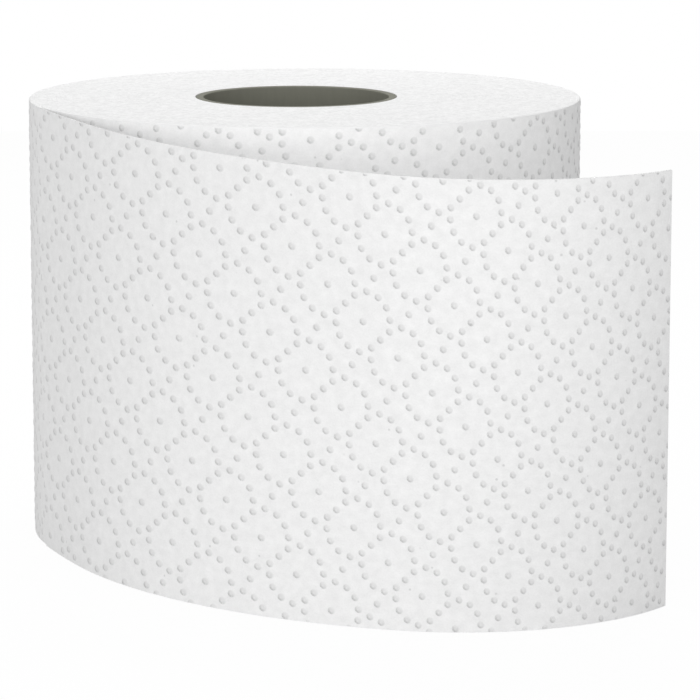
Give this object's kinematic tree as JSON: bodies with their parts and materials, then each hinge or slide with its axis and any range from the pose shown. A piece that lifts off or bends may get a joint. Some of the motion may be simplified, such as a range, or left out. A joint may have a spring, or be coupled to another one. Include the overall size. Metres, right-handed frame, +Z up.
{
  "type": "toilet paper roll",
  "caption": "Toilet paper roll standing on its end, with its last sheet pulled free in front, wound on an open cardboard core that slips over a holder's spindle.",
  "frame": {"origin": "on the core's axis, at the end that the roll stands on", "axes": "+Z up along the core's axis, -Y towards the front, where the free sheet swings out, +X towards the cut end of that sheet"},
  "size_m": [0.133, 0.1774, 0.095],
  "materials": {
    "tissue": "matte, embossed with small dots",
    "core_board": "matte grey board"
  },
  "bodies": {
    "root": {"paper_web": "tissue", "core_tube": "core_board"}
  },
  "joints": []
}
